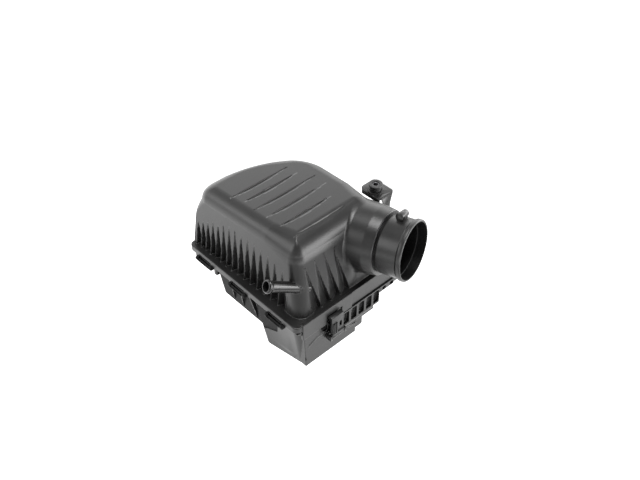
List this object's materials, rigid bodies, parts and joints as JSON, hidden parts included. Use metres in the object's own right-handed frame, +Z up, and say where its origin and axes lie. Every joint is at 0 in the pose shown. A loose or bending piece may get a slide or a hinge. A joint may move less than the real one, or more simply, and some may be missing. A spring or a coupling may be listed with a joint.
{
  "type": "air filter housing",
  "caption": "Engine air filter box: pleated dome cover hinged on a lower case, held by lever latches, with a round outlet duct, a breather nipple and a pleated filter inside.",
  "frame": {"origin": "bottom centre of the whole assembly, on the plane the rubber isolators stand on", "axes": "+Z up, +X towards the side the outlet duct leaves, -Y towards the hinge side with the breather nipple"},
  "size_m": [0.2658, 0.2331, 0.1901],
  "materials": {
    "case_plastic": "satin black moulded plastic",
    "latch_plastic": "satin black moulded plastic",
    "rubber": "matte black rubber",
    "seal": "matte soft moulded seal",
    "steel": "plain zinc plated steel",
    "filter_paper": "matte resin treated filter paper"
  },
  "bodies": {
    "case": {"lower_case": "case_plastic", "lower_rim": "case_plastic", "pocket_rail": "case_plastic", "hinge_rail_1": "case_plastic", "hinge_rail_2": "case_plastic", "hinge_rail_3": "case_plastic", "inlet_duct": "case_plastic", "mount_bracket": "case_plastic", "mount_bush": "rubber", "mount_sleeve": "steel", "peg_near": "case_plastic", "peg_rear": "case_plastic", "peg_left": "case_plastic", "isolator_near": "rubber", "isolator_rear": "rubber", "isolator_left": "rubber", "filter_seal": "seal", "filter_media": "filter_paper", "latch_side_lugs": "case_plastic", "latch_back_left_lugs": "case_plastic", "latch_back_right_lugs": "case_plastic", "latch_side_pin": "steel", "latch_back_left_pin": "steel", "latch_back_right_pin": "steel"},
    "cover": {"cover": "case_plastic", "cover_rim": "case_plastic", "outlet_duct": "case_plastic", "duct_lug": "case_plastic", "breather_nipple": "case_plastic", "hinge_hook_1": "case_plastic", "hinge_hook_2": "case_plastic", "hinge_hook_3": "case_plastic", "latch_side_keeper": "case_plastic", "latch_back_left_keeper": "case_plastic", "latch_back_right_keeper": "case_plastic"},
    "latch_side": {"latch_side": "latch_plastic"},
    "latch_back_left": {"latch_back_left": "latch_plastic"},
    "latch_back_right": {"latch_back_right": "latch_plastic"}
  },
  "joints": [
    {"name": "cover_hinge", "type": "hinge", "parent": "case", "child": "cover", "pos_m": [-0.0304, -0.098, 0.0746], "axis": [1, 0, 0], "range_deg": [0, 75]},
    {"name": "latch_side_pivot", "type": "hinge", "parent": "case", "child": "latch_side", "pos_m": [0.0877, -0.035, 0.041], "axis": [0, 1, 0], "range_deg": [0, 100]},
    {"name": "latch_back_left_pivot", "type": "hinge", "parent": "case", "child": "latch_back_left", "pos_m": [-0.0779, 0.0892, 0.049], "axis": [-1, 0, 0], "range_deg": [0, 100]},
    {"name": "latch_back_right_pivot", "type": "hinge", "parent": "case", "child": "latch_back_right", "pos_m": [0.0631, 0.0892, 0.049], "axis": [-1, 0, 0], "range_deg": [0, 100]}
  ]
}
